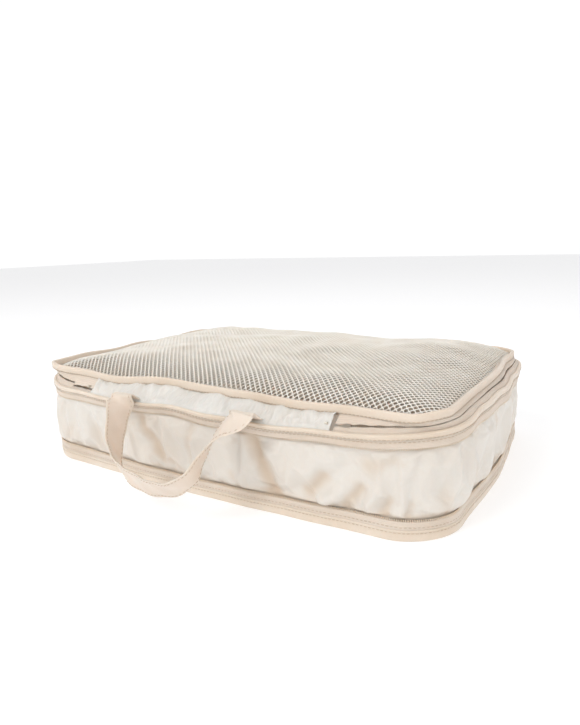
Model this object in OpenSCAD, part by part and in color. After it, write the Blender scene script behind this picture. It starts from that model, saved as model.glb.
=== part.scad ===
// Compression packing cube: a shallow fabric box with a zipped mesh lid, a folding
// gusset that a second zip closes up, and a strap handle on its long front side.
// Millimetres. The origin is at the centre of the base, on the floor.
// +X runs along the handle side, the handle faces -Y and +Z is up.

/* [Body] */
// Length of the base between its short sides, before they bulge
body_l = 400; // [320:10:460]
// Depth of the base from the handle side to the back, before they bulge
body_w = 280; // [230:10:320]
// Corner radius of the base
corner_r = 42; // [36:1:60]
// Height of the bottom binding
bottom_binding_h = 8.5; // [6:0.5:10]
// Height of the expansion gusset that shows between the two compression tapes
gusset_h = 50.5; // [30:0.5:80]
// Height of the mesh dome above its own edge
dome_h = 16; // [4:1:24]

/* [Sewn parts] */
// Thickness of a rolled binding
binding_t = 3; // [2.4:0.1:3.6]
// Thickness of a zip tape and of one fabric layer
tape_t = 1; // [0.8:0.1:1.2]
// Width of the visible zip tape beside a binding
tape_w = 5.5; // [4:0.5:7]
// Thickness of a zip coil
coil_t = 2.2; // [1.8:0.1:2.4]
// Length of the fabric hinge in the front of the lid
hinge_l = 236; // [160:2:260]

/* [Handle] */
// Width of the handle strap
strap_w = 22; // [18:1:26]
// Thickness of the doubled handle strap
strap_t = 1.6; // [1.2:0.1:2.2]
// Distance between the centres of the two handle ends
handle_span = 120; // [90:2:150]
// Reach of the handle from its seam to the bottom of the loop
handle_reach = 64; // [50:1:80]
// Angle of the resting handle below the horizontal
handle_droop = 53; // [30:1:70]

/* [Zip sliders] */
// Length of a slider along its zip
slider_l = 10; // [8:0.5:12]
// Length of a puller from its crossbar to its tip
puller_l = 25; // [18:1:32]
// Distance of each main slider's centre from the middle of the back
main_slider_x = 7; // [6:0.5:20]
// Place of the compression slider along the back when the cube is expanded
compression_slider_x = -120; // [-130:5:-100]

/* [Hidden] */
// Clearance between pieces that slide past each other
gap = 0.3;
corner_steps = 7;
side_steps = 8;

// Heights of the layers, from the base up.
lower_tape_top = bottom_binding_h + tape_w;
lower_coil_top = lower_tape_top + coil_t;
upper_coil_z = lower_coil_top + gusset_h;
upper_tape_z = upper_coil_z + coil_t;
mid_binding_z = upper_tape_z + 3.3;
shoulder_z = mid_binding_z + 6.6;
mid_binding_top = shoulder_z + tape_t;
top_binding_top = mid_binding_top + 8.8;
mesh_edge_z = mid_binding_top + 3.8;

// A level is [half length, front reach, back reach, corner radius, front bulge, side bulge].
// The back stays straight, because the sliders run along it.
base_level = [body_l / 2, body_w / 2, body_w / 2, corner_r, 5, 5];
mid_level = [body_l / 2 + 5, body_w / 2 + 6, body_w / 2, corner_r + 8, 10, 3];
top_level = [body_l / 2 - 7, body_w / 2 - 7, body_w / 2 - 16, corner_r - 4, 1.5, 4];
zip_level = (mid_level + top_level) / 2;

// Offsets from a level's outline to the two faces of a piece in the sewn edge.
binding_out = binding_t / 2 + 0.1;
binding_in = binding_out - binding_t;
seam_tape_in = binding_in - 1.8;
gusset_in = seam_tape_in - tape_t;
stitch_proud = 0.3;
stitch_h = 0.7;
slit_half = 0.8;

// The handle's pivot line, just outside the middle binding.
pivot_y = -(mid_level[1] + mid_level[4] + 4.2);
pivot_z = mid_binding_top + strap_t / 2;
strap_start = 1;
strap_bow = 8;
strap_steps = 44;

// The zips' lines along the straight back.
main_zip_y = zip_level[2];
compression_zip_y = base_level[2];

FABRIC = [0.91, 0.885, 0.85];
TAPE = [0.9, 0.85, 0.79];
BINDING = [0.925, 0.87, 0.81];
STRAP = [0.92, 0.86, 0.8];
THREAD = [0.8, 0.68, 0.57];
NET = [0.93, 0.91, 0.87];
METAL = [0.72, 0.69, 0.63];

// ---- Outlines ----

function corner_arc(cx, cy, r, from) =
    [for (i = [0:corner_steps]) let (a = from + 90 * i / corner_steps) [cx + r * cos(a), cy + r * sin(a)]];

// Points between a and b, pushed out along n by a parabola of the given height.
function bulged_side(a, b, n, bulge) =
    [for (i = [1:side_steps - 1]) let (t = i / side_steps) a + (b - a) * t + n * bulge * 4 * t * (1 - t)];

function outline(level, off = 0) =
    let (
        cx = level[0] - level[3],
        front = -(level[1] - level[3]),
        back = level[2] - level[3],
        r = level[3] + off,
        front_right = corner_arc(cx, front, r, -90),
        back_right = corner_arc(cx, back, r, 0),
        back_left = corner_arc(-cx, back, r, 90),
        front_left = corner_arc(-cx, front, r, 180)
    )
    concat(
        front_right, bulged_side(front_right[corner_steps], back_right[0], [1, 0], level[5]),
        back_right, bulged_side(back_right[corner_steps], back_left[0], [0, 1], 0),
        back_left, bulged_side(back_left[corner_steps], front_left[0], [-1, 0], level[5]),
        front_left, bulged_side(front_left[corner_steps], front_right[0], [0, -1], level[4])
    );

function at_height(points, z) = [for (p = points) [p[0], p[1], z]];

// An upright ring between two offsets of one level.
module ring(level, inner, outer, z0, z1) {
    translate([0, 0, z0])
        linear_extrude(z1 - z0)
            difference() {
                polygon(outline(level, outer));
                polygon(outline(level, inner));
            }
}

// A flat ring between the outlines of two different levels.
module flat_ring(outer_level, outer, inner_level, inner, z0, z1) {
    translate([0, 0, z0])
        linear_extrude(z1 - z0)
            difference() {
                polygon(outline(outer_level, outer));
                polygon(outline(inner_level, inner));
            }
}

// The block in front of the body that holds the fabric hinge, as wide as half_l each side.
module hinge_window(half_l, z0, z1) {
    translate([-half_l, -body_w, z0])
        cube([2 * half_l, body_w, z1 - z0]);
}

// ---- Base ----

module bottom_panel() {
    color(FABRIC)
        linear_extrude(tape_t + 0.2)
            polygon(outline(base_level, binding_in));
}

module bottom_binding() {
    color(BINDING)
        ring(base_level, binding_in, binding_out, 0, bottom_binding_h);
}

module bottom_binding_stitching() {
    stitch_z = bottom_binding_h - 2.2;
    color(THREAD)
        ring(base_level, binding_out, binding_out + stitch_proud, stitch_z, stitch_z + stitch_h);
}

module bottom_inner_seam_tape() {
    color(TAPE)
        ring(base_level, seam_tape_in, binding_in, tape_t + 0.2, bottom_binding_h);
}

module compression_lower_tape() {
    color(TAPE)
        ring(base_level, -tape_t / 2, tape_t / 2, bottom_binding_h, lower_tape_top);
}

module compression_lower_tape_stitching() {
    stitch_z = bottom_binding_h + 1;
    color(THREAD)
        ring(base_level, tape_t / 2, tape_t / 2 + stitch_proud, stitch_z, stitch_z + stitch_h);
}

module compression_lower_coil() {
    color(TAPE)
        ring(base_level, -coil_t / 2, coil_t / 2, lower_tape_top, lower_coil_top);
}

// The two ends of the compression zip meet at the back, beside the parked slider.
module compression_zip_stops() {
    stop_l = 2.4;
    color(METAL)
        for (away = [10, 16])
            translate([compression_slider_x - away, compression_zip_y, lower_coil_top])
                translate([-stop_l / 2, -coil_t / 2, 0])
                    cube([stop_l, coil_t, 1.3]);
}

// The gusset's outer offset at height z: flat behind both tapes and full between them.
function gusset_fullness(z) =
    let (from = lower_coil_top + 4, to = upper_coil_z - 4)
    z <= from || z >= to ? 0 : 8 * sin(180 * (z - from) / (to - from));

function gusset_level(z) =
    let (t = max(0, min(1, (z - lower_coil_top) / gusset_h)))
    base_level * (1 - t) + mid_level * t;

function gusset_loop(z, off) =
    at_height(outline(gusset_level(z), off + gusset_fullness(z)), z);

// Closed skin through loops of equal length, the last joined to the first.
module loop_shell(loops) {
    n = len(loops[0]);
    m = len(loops);
    points = [for (loop = loops) for (p = loop) p];
    function id(i, j) = (i % m) * n + (j % n);
    faces = [for (i = [0:m - 1]) for (j = [0:n - 1]) each [
        [id(i, j), id(i + 1, j), id(i + 1, j + 1)],
        [id(i, j), id(i + 1, j + 1), id(i, j + 1)]
    ]];
    polyhedron(points, faces, convexity = 6);
}

module expansion_gusset() {
    foot = bottom_binding_h;
    head = upper_tape_z + 2;
    full_z = [for (i = [0:6]) lower_coil_top + 4 + (gusset_h - 8) * i / 6];
    heights = concat([foot], full_z, [head]);
    outer = [for (z = heights) gusset_loop(z, seam_tape_in)];
    inner = [for (i = [len(heights) - 1:-1:0]) gusset_loop(heights[i], gusset_in)];
    color(FABRIC)
        loop_shell(concat(outer, inner));
}

// ---- Upper frame ----

module compression_upper_coil() {
    color(TAPE)
        ring(mid_level, -coil_t / 2, coil_t / 2, upper_coil_z, upper_tape_z);
}

module compression_upper_tape() {
    color(TAPE)
        ring(mid_level, -tape_t / 2, tape_t / 2, upper_tape_z, mid_binding_z);
}

module compression_upper_tape_stitching() {
    stitch_z = mid_binding_z - 1.6;
    color(THREAD)
        ring(mid_level, tape_t / 2, tape_t / 2 + stitch_proud, stitch_z, stitch_z + stitch_h);
}

module mid_binding() {
    color(BINDING)
        ring(mid_level, binding_in, binding_out, mid_binding_z, mid_binding_top);
}

module mid_binding_stitching() {
    stitch_z = mid_binding_z + 1;
    color(THREAD)
        ring(mid_level, binding_out, binding_out + stitch_proud, stitch_z, stitch_z + stitch_h);
}

// It ends below the main zip's coil, which runs close to it at the short sides.
module mid_inner_seam_tape() {
    color(TAPE)
        ring(mid_level, seam_tape_in, binding_in, mid_binding_z, shoulder_z - coil_t - gap);
}

module main_lower_tape() {
    color(TAPE)
        difference() {
            flat_ring(mid_level, binding_in, zip_level, slit_half, shoulder_z, mid_binding_top);
            hinge_window(hinge_l / 2, shoulder_z - 1, mid_binding_top + 1);
        }
}

module main_lower_coil() {
    color(TAPE)
        difference() {
            ring(zip_level, slit_half, slit_half + coil_t, shoulder_z - coil_t, shoulder_z);
            hinge_window(hinge_l / 2 + 3, shoulder_z - coil_t - 1, shoulder_z + 1);
        }
}

module main_zip_end_stops() {
    stop_l = 2.4;
    stop_w = 3;
    stop_t = 1.4;
    stop_y = -(zip_level[1] + zip_level[4]);
    color(METAL)
        for (side = [-1, 1])
            translate([side * (hinge_l / 2 + 1.6), stop_y, shoulder_z - stop_t])
                translate([-stop_l / 2, -stop_w / 2, 0])
                    cube([stop_l, stop_w, stop_t]);
}

// The fabric between the middle binding and the lid, which bends when the lid opens.
module hinge_strip() {
    lid_side = binding_out + 1;
    color(FABRIC)
        intersection() {
            flat_ring(mid_level, binding_in, top_level, lid_side, shoulder_z, mid_binding_top);
            hinge_window(hinge_l / 2 - gap, shoulder_z - 1, mid_binding_top + 1);
        }
}

// One sewn-down end of the strap, over the hinge strip and the middle binding.
module handle_anchor(x) {
    anchor_l = 8.5;
    color(STRAP)
        translate([x - strap_w / 2, pivot_y + strap_start + 0.7, mid_binding_top])
            cube([strap_w, anchor_l, strap_t]);
}

module handle_anchor_left() {
    handle_anchor(-handle_span / 2);
}

module handle_anchor_right() {
    handle_anchor(handle_span / 2);
}

module handle_anchor_bartacks() {
    tack_l = strap_w - 4;
    tack_w = 1.2;
    color(THREAD)
        for (side = [-1, 1])
            for (row = [4, 8])
                translate([side * handle_span / 2 - tack_l / 2, pivot_y + row, mid_binding_top + strap_t])
                    cube([tack_l, tack_w, stitch_proud]);
}

// ---- Lid ----

module main_upper_tape() {
    color(TAPE)
        difference() {
            flat_ring(zip_level, -slit_half, top_level, binding_in, shoulder_z, mid_binding_top);
            hinge_window(hinge_l / 2, shoulder_z - 1, mid_binding_top + 1);
        }
}

module main_upper_coil() {
    color(TAPE)
        difference() {
            ring(zip_level, -slit_half - coil_t, -slit_half, shoulder_z - coil_t, shoulder_z);
            hinge_window(hinge_l / 2 + 3, shoulder_z - coil_t - 1, shoulder_z + 1);
        }
}

module top_binding() {
    color(BINDING)
        ring(top_level, binding_in, binding_out, mid_binding_top, top_binding_top);
}

module top_binding_stitching() {
    stitch_z = mid_binding_top + 1.2;
    color(THREAD)
        ring(top_level, binding_out, binding_out + stitch_proud, stitch_z, stitch_z + stitch_h);
}

module mesh_edge_tape() {
    color(TAPE)
        ring(top_level, binding_in - 4, binding_in, mesh_edge_z - 1, mesh_edge_z);
}

// A shallow dome over the outline: a centre point, then scaled loops out to the edge.
module mesh_panel() {
    rings = 7;
    edge = outline(top_level, binding_in);
    n = len(edge);
    function dome_loop(s, z0) = [for (p = edge) [p[0] * s, p[1] * s, z0 + dome_h * (1 - s * s)]];
    function dome(z0) = concat([[0, 0, z0 + dome_h]], [for (k = [1:rings]) each dome_loop(k / rings, z0)]);
    under = 1 + rings * n;
    function top_id(k, j) = 1 + (k - 1) * n + (j % n);
    fan = [for (j = [0:n - 1]) [0, top_id(1, j + 1), top_id(1, j)]];
    bands = [for (k = [1:rings - 1]) for (j = [0:n - 1]) each [
        [top_id(k, j), top_id(k, j + 1), top_id(k + 1, j + 1)],
        [top_id(k, j), top_id(k + 1, j + 1), top_id(k + 1, j)]
    ]];
    top = concat(fan, bands);
    bottom = [for (f = top) [f[0] + under, f[2] + under, f[1] + under]];
    rim = [for (j = [0:n - 1]) let (a = top_id(rings, j), b = top_id(rings, j + 1)) each [
        [a, b, b + under],
        [a, b + under, a + under]
    ]];
    points = concat(dome(mesh_edge_z + tape_t), dome(mesh_edge_z));
    color(NET)
        polyhedron(points, concat(top, bottom, rim), convexity = 4);
}

// ---- Handle ----

// The strap's centre line in its own plane, as [along the side, away from the seam].
function strap_centre(t) =
    [-handle_span / 2 * cos(180 * t), strap_start + (handle_reach - strap_start) * sin(180 * t)];

function strap_point(t) =
    let (
        p = strap_centre(t),
        bow = strap_bow * sin(180 * (p[1] - strap_start) / handle_reach)
    )
    [
        p[0],
        pivot_y - p[1] * cos(handle_droop) - bow * sin(handle_droop),
        pivot_z - p[1] * sin(handle_droop) + bow * cos(handle_droop)
    ];

function unit(v) = v / norm(v);

function strap_tangent(t) = unit(strap_point(min(1, t + 0.004)) - strap_point(max(0, t - 0.004)));

// The width runs along the seam at both ends and turns square to the loop below,
// a quarter turn in each leg.
function strap_turn(t) =
    let (
        s = max(0, min(1, (min(t, 1 - t) - 0.12) / 0.2)),
        quarter = 90 * s * s * (3 - 2 * s)
    )
    t < 0.5 ? quarter : 180 - quarter;

function strap_side(t) =
    let (
        out = [0, -sin(handle_droop), cos(handle_droop)],
        tangent = strap_tangent(t),
        flat = unit(cross(tangent, out)),
        up = cross(flat, tangent)
    )
    flat * cos(strap_turn(t)) + up * sin(strap_turn(t));

// The four corners of the strap's section, half_w either side of mid_w and half_t thick.
function strap_section(t, mid_w, half_w, mid_t, half_t) =
    let (
        w = strap_side(t),
        h = cross(strap_tangent(t), w),
        c = strap_point(t) + w * mid_w + h * mid_t
    )
    [for (s = [[-1, -1], [1, -1], [1, 1], [-1, 1]]) c + w * s[0] * half_w + h * s[1] * half_t];

module strap_sweep(mid_w, half_w, mid_t, half_t) {
    sections = [for (i = [0:strap_steps]) strap_section(i / strap_steps, mid_w, half_w, mid_t, half_t)];
    points = [for (s = sections) for (p = s) p];
    sides = [for (i = [0:strap_steps - 1]) for (k = [0:3]) let (a = 4 * i + k, b = 4 * i + (k + 1) % 4) each [
        [a, a + 4, b + 4],
        [a, b + 4, b]
    ]];
    last = 4 * strap_steps;
    ends = [[0, 1, 2], [0, 2, 3], [last, last + 2, last + 1], [last, last + 3, last + 2]];
    polyhedron(points, concat(sides, ends), convexity = 6);
}

module handle_strap() {
    color(STRAP)
        strap_sweep(0, strap_w / 2, 0, strap_t / 2);
}

module handle_edge_stitching() {
    color(THREAD)
        for (side = [-1, 1])
            strap_sweep(side * (strap_w / 2 - 2), 0.3, strap_t / 2 + 0.15, 0.15);
}

// ---- Zip sliders and pullers ----

// A bail stands on z = 0 and takes the puller's crossbar along Y.
bail_l = 5;
bail_w = 2.2;
bail_h = 3.2;
bar_r = 0.7;
bar_z = 1.3;

module bail() {
    difference() {
        translate([-bail_l / 2, -bail_w / 2, 0])
            cube([bail_l, bail_w, bail_h]);
        translate([-1.7, -bail_w, 0.1])
            cube([3.4, 2 * bail_w, 2.4]);
    }
}

// A puller whose crossbar lies on the origin along Y and whose tab points along +X.
module puller() {
    arm_y = 1.4;
    arm_w = 1.2;
    arm_l = 6;
    tab_w = 6.4;
    tab_t = 1.2;
    color(METAL)
        union() {
            rotate([90, 0, 0])
                cylinder(h = 2 * (arm_y + arm_w), r = bar_r, center = true, $fn = 32);
            for (side = [-1, 1])
                translate([0, side * (arm_y + arm_w / 2) - arm_w / 2, -tab_t / 2])
                    cube([arm_l, arm_w, tab_t]);
            difference() {
                translate([arm_l - 0.5, -tab_w / 2, -tab_t / 2])
                    cube([puller_l - arm_l - tab_w / 2 + 0.5, tab_w, tab_t]);
                translate([puller_l - 9, 0, 0])
                    cylinder(h = 2 * tab_t, r = 1.6, center = true, $fn = 32);
            }
            translate([puller_l - tab_w / 2, 0, 0])
                cylinder(h = tab_t, r = tab_w / 2, center = true, $fn = 48);
        }
}

plate_t = 1.1;
main_plate_z = mid_binding_top + gap;

// The main slider carries the lid's half of the zip and laps over the frame's half.
module main_slider(x) {
    plate_w = 8;
    lid_w = plate_w / 2;
    under_z = shoulder_z - coil_t - gap - plate_t;
    post_half = slit_half - gap;
    color(METAL)
        translate([x, main_zip_y, 0])
            union() {
                translate([-slider_l / 2, -plate_w / 2, main_plate_z])
                    cube([slider_l, plate_w, plate_t]);
                translate([-slider_l / 2, -lid_w, under_z])
                    cube([slider_l, lid_w + post_half, plate_t]);
                translate([-1.5, -post_half, under_z])
                    cube([3, 2 * post_half, main_plate_z - under_z + plate_t]);
                translate([0, 0, main_plate_z + plate_t])
                    bail();
            }
}

module main_slider_left() {
    main_slider(-main_slider_x);
}

module main_slider_right() {
    main_slider(main_slider_x);
}

module main_puller_left() {
    translate([-main_slider_x, main_zip_y, main_plate_z + plate_t + bar_z])
        rotate([0, 0, 180])
            puller();
}

module main_puller_right() {
    translate([main_slider_x, main_zip_y, main_plate_z + plate_t + bar_z])
        puller();
}

// The compression slider stands upright on the lower coil, open above for the upper coil.
compression_plate_y = compression_zip_y + coil_t / 2 + gap;
compression_plate_z = lower_tape_top - 2.2;
compression_plate_h = 8.2;
compression_bail_z = compression_plate_z + compression_plate_h / 2;

module compression_slider() {
    channel = coil_t + 2 * gap;
    post_z = lower_coil_top + gap;
    color(METAL)
        translate([compression_slider_x, 0, 0])
            union() {
                translate([-slider_l / 2, compression_plate_y, compression_plate_z])
                    cube([slider_l, plate_t, compression_plate_h]);
                translate([-slider_l / 2, compression_plate_y - channel - plate_t, compression_plate_z])
                    cube([slider_l, plate_t, compression_plate_h]);
                translate([-2, compression_plate_y - channel - 0.5, post_z])
                    cube([4, channel + 1, 1.4]);
                translate([0, compression_plate_y + plate_t, compression_bail_z])
                    rotate([-90, 0, 0])
                        bail();
            }
}

module compression_puller() {
    translate([compression_slider_x, compression_plate_y + plate_t + bar_z, compression_bail_z])
        rotate([-90, 0, 180])
            puller();
}

bottom_panel();
bottom_binding();
bottom_binding_stitching();
bottom_inner_seam_tape();
compression_lower_tape();
compression_lower_tape_stitching();
compression_lower_coil();
compression_zip_stops();
expansion_gusset();
compression_upper_coil();
compression_upper_tape();
compression_upper_tape_stitching();
mid_binding();
mid_binding_stitching();
mid_inner_seam_tape();
main_lower_tape();
main_lower_coil();
main_zip_end_stops();
hinge_strip();
handle_anchor_left();
handle_anchor_right();
handle_anchor_bartacks();
main_upper_tape();
main_upper_coil();
top_binding();
top_binding_stitching();
mesh_edge_tape();
mesh_panel();
handle_strap();
handle_edge_stitching();
main_slider_left();
main_puller_left();
main_slider_right();
main_puller_right();
compression_slider();
compression_puller();
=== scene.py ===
import math

import bpy
import numpy as np
from mathutils import Matrix, Vector, noise


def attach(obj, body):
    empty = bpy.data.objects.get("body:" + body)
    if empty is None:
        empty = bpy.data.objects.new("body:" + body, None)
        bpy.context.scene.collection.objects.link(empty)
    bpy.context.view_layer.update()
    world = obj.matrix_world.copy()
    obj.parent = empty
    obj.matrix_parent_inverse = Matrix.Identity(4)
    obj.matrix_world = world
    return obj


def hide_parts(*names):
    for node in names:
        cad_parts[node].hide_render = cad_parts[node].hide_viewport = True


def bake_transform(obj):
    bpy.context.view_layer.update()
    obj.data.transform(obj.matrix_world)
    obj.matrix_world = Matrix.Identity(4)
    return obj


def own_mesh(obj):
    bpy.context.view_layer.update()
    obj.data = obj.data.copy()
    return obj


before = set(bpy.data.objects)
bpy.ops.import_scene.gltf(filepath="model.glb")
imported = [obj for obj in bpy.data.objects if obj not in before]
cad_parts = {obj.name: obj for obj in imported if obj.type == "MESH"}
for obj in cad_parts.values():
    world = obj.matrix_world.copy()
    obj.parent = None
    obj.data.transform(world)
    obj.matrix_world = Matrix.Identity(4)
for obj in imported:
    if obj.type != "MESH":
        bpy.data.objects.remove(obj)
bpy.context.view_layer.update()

# All shapes are worked out in millimetres, in the frame's axes, and put in metres when a mesh is made.
MM = 0.001
UP = np.array([0, 0, 1.0])


# ---------------------------------------------------------------- outlines

# A level is half length, front reach, back reach, corner radius, front bulge, side bulge and height,
# then the share of each of the four waves below that its height follows.
FLOOR = np.array([200.4, 140.4, 140, 43, 5.4, 5.4, 0, 0, 0, 0, 0])
LOWER_COIL = np.array([200.0, 140.0, 140, 38, 4.3, 7.1, 16.1, 1, 0, 0, 0])
UPPER_COIL = np.array([204.8, 144.8, 140, 57, 9.6, 4.6, 66.7, 0, 1, 0, 0])
MID_RIM = np.array([205.9, 145.9, 140, 61, 12.3, 2.4, 79.8, 0, 0, 1, 0])
TOP_SEAM = np.array([194.8, 134.8, 124, 22, 0.9, 4.8, 82.4, 0, 0, 0, 1])
TOP_RIM = np.array([194.8, 134.8, 124, 20, 0.7, 5.0, 88.9, 0, 0, 0, 1])

# Each wave is a height against the way round from the middle of the handle side, right positive.
WAVES = [
    [(-160, 0), (-60, -2.5), (0, -3), (60, -2.5), (160, 0)],
    [(-250, 0), (-200, -2), (-150, -3.7), (-110, -4), (-80, -3.5), (-50, -1.5), (-20, 1), (15, -2), (45, -3),
     (80, -4), (110, -4.2), (140, -3.4), (165, -2), (197, -0.5), (230, 1.2), (275, 1.2), (330, 0)],
    [(-280, 0), (-200, -1.5), (-160, -5), (-115, -6.5), (-85, -7), (-50, -5), (-20, -2.3), (15, -3.3), (45, -5),
     (80, -6.6), (110, -7), (140, -6), (165, -3.8), (197, -1), (230, 1.5), (275, 1.8), (340, 0)],
    [(-430, 0), (-330, 0.5), (-250, 2), (-200, 3.5), (-165, 4), (-143, 2.5), (-115, 1), (-88, -1), (-61, 0.8),
     (-32, 4), (-7, 3.2), (20, 1.2), (48, -0.3), (80, -0.5), (129, 0), (156, 1.2), (190, 2.2), (240, 2.4),
     (300, 2.8), (360, 2.2), (430, 0)],
]
# A wave goes on level for this many mm past its ends, and is softened over this many mm on the given steps.
WAVE_MARGIN, WAVE_SOFT, WAVE_STEPS = 30, 24, 400

# The stretches of an outline in order, and the number of samples in each, about ROUND_MM long.
SEGMENTS = [("front", 150), ("fr", 34), ("right", 96), ("br", 34), ("back", 150), ("bl", 34), ("left", 96), ("fl", 34)]
STARTS = dict(zip([n for n, _ in SEGMENTS], np.cumsum([0] + [c for _, c in SEGMENTS])))
ROUND_MM = 2.02
N = sum(c for _, c in SEGMENTS)
# Bands and stitches follow an outline with twice the samples.
N2 = 2 * N

wave_cache = {}


def unit(v):
    return v / np.linalg.norm(v, axis=-1, keepdims=True)


def lengths(p, closed=True):
    """The length along a line at each of its points."""
    q = np.vstack([p, p[:1]]) if closed else p
    return np.concatenate([[0], np.cumsum(np.linalg.norm(np.diff(q, axis=0), axis=1))])


def at(want, s, rows):
    """What rows, given at the lengths s, come to at the lengths want."""
    return np.stack([np.interp(want, s, rows[:, i]) for i in range(3)], 1)


def lumpy(x, y, z):
    """A smooth noise at each point of the arrays or numbers x, y and z."""
    return np.array([noise.noise(Vector(p)) for p in np.broadcast(x, y, z)])


def swell(t):
    """0 at both ends of a side and 1 in its middle, level with the corners where it starts."""
    return np.sin(np.pi * np.clip(t, 0, 1)) ** 1.25


def wave_heights(shares, times):
    """The height that each sample of the outline gains from the waves."""
    key = (tuple(np.round(shares, 6)), times)
    if key not in wave_cache:
        around = np.arange(N * times) / times - STARTS["fr"] / 2
        around = np.where(around > N / 2, around - N, around) * ROUND_MM
        total = 0
        for share, knots in zip(shares, WAVES):
            x, y = np.array(knots, float).T
            fine_x = np.linspace(x[0] - WAVE_MARGIN, x[-1] + WAVE_MARGIN, WAVE_STEPS)
            step = (x[-1] - x[0] + 2 * WAVE_MARGIN) / (WAVE_STEPS - 1)
            ker = np.hanning(2 * int(WAVE_SOFT / step) + 1)
            fine = np.pad(np.interp(fine_x, x, y), len(ker) // 2, mode="edge")
            total = total + share * np.interp(around, fine_x, np.convolve(fine, ker / ker.sum(), "valid"))
        wave_cache[key] = total
    return wave_cache[key]


def ring(level, off=0.0, up=0.0, times=1):
    """The outline of a level, off outwards and up higher: points and outward normals, times x N of them."""
    hl, f, b, r, bf, bs, z = level[:7]
    off = np.broadcast_to(off, (N * times,)).astype(float)
    pts, k = [], 0
    for name, count in SEGMENTS:
        count *= times
        t = np.arange(count) / count
        o = off[k:k + count]
        k += count
        w = swell(t)
        if name in ("front", "back"):
            side = 1 if name == "front" else -1
            x = side * (hl - r) * (2 * t - 1)
            y = -(f + bf * w + o) if name == "front" else b + o
            p = np.stack([x, y + 0 * x], 1)
        elif name in ("right", "left"):
            side = 1 if name == "right" else -1
            y0, y1 = -(f - r), b - r
            y = y0 + (y1 - y0) * t if name == "right" else y1 + (y0 - y1) * t
            p = np.stack([side * (hl + bs * w + o), y], 1)
        else:
            start, cx = {"fr": (-90, 1), "br": (0, 1), "bl": (90, -1), "fl": (180, -1)}[name]
            cy = -(f - r) if name in ("fr", "fl") else b - r
            a = np.radians(start + 90 * t)
            p = np.stack([cx * (hl - r) + (r + o) * np.cos(a), cy + (r + o) * np.sin(a)], 1)
        pts.append(p)
    p = np.concatenate(pts)
    zz = z + up + wave_heights(level[7:], times)
    d = np.roll(p, -1, 0) - np.roll(p, 1, 0)
    n = unit(np.stack([d[:, 1], -d[:, 0]], 1))
    return np.column_stack([p, zz]), np.column_stack([n, np.zeros(len(n))])


def between(a, b, z):
    """The level at height z between levels a and b."""
    t = (z - a[6]) / (b[6] - a[6])
    return a + (b - a) * t


def body_level(z):
    """The outline that the sides follow from the floor to the middle rim."""
    if z <= LOWER_COIL[6]:
        return between(FLOOR, LOWER_COIL, z)
    if z <= UPPER_COIL[6]:
        return between(LOWER_COIL, UPPER_COIL, z)
    return between(UPPER_COIL, MID_RIM, z)


def top_level(z):
    """The outline that the lid's rim follows."""
    return between(TOP_SEAM, TOP_RIM, z)


def ripple(lo, hi, seed):
    """A smooth closed wave round the outline, made of 12 waves with lo to hi crests each, with an RMS of 1."""
    r = np.random.default_rng(seed)
    s = np.arange(N2) / N2
    total = 0
    for _ in range(12):
        total = total + np.sin(2 * np.pi * (r.integers(lo, hi + 1) * s + r.random())) * r.uniform(0.5, 1)
    return total / np.std(total)


def waved(p, n, wave_out=0.0, wave_up=0.0):
    """The points p of an outline with normals n, moved by waves round the outline or by numbers."""
    return p + n * np.reshape(wave_out, (-1, 1)) + UP * np.reshape(wave_up, (-1, 1))


# ---------------------------------------------------------------- meshes

def place(obj, body, node, slot):
    """Puts obj on its body, in the place of its CAD node, whose CAD part it hides. slot is not used."""
    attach(obj, body)
    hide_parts(node)
    return obj


def build(name, verts, faces, material, uv=None, smooth=True, tris=np.zeros((0, 3), int)):
    """A mesh object from points in mm and an array of faces, with uv in mm for each corner, and from tris without."""
    mesh = bpy.data.meshes.new(name)
    faces = np.asarray(faces, int)
    corners = np.concatenate([faces.ravel(), tris.ravel()])
    starts = np.concatenate([np.arange(0, faces.size, faces.shape[1]), faces.size + np.arange(0, tris.size, 3)])
    mesh.vertices.add(len(verts))
    mesh.vertices.foreach_set("co", (np.asarray(verts, float) * MM).astype(np.float32).ravel())
    mesh.loops.add(len(corners))
    mesh.loops.foreach_set("vertex_index", corners.astype(np.int32))
    mesh.polygons.add(len(starts))
    mesh.polygons.foreach_set("loop_start", starts.astype(np.int32))
    mesh.update(calc_edges=True)
    mesh.validate()
    if uv is not None:
        flat = np.zeros((len(corners), 2))
        flat[:faces.size] = uv * MM
        mesh.uv_layers.new(name="weave").data.foreach_set("uv", flat.astype(np.float32).ravel())
    mesh.polygons.foreach_set("use_smooth", np.full(len(mesh.polygons), smooth))
    mesh.materials.append(material)
    obj = bpy.data.objects.new(name, mesh)
    bpy.context.scene.collection.objects.link(obj)
    return obj


def grid_faces(m, k, wrap_m, wrap_k):
    """Faces of an m by k grid of points, and the grid place of every corner for its uv."""
    i = np.arange(m if wrap_m else m - 1)
    j = np.arange(k if wrap_k else k - 1)
    ii, jj = [a.ravel() for a in np.meshgrid(i, j, indexing="ij")]
    corners = [(ii, jj), (ii + 1, jj), (ii + 1, jj + 1), (ii, jj + 1)]
    faces = np.stack([(a % m) * k + (b % k) for a, b in corners], 1)
    places = np.stack([np.stack([a, b], 1) for a, b in corners], 1)
    return faces, places


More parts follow.
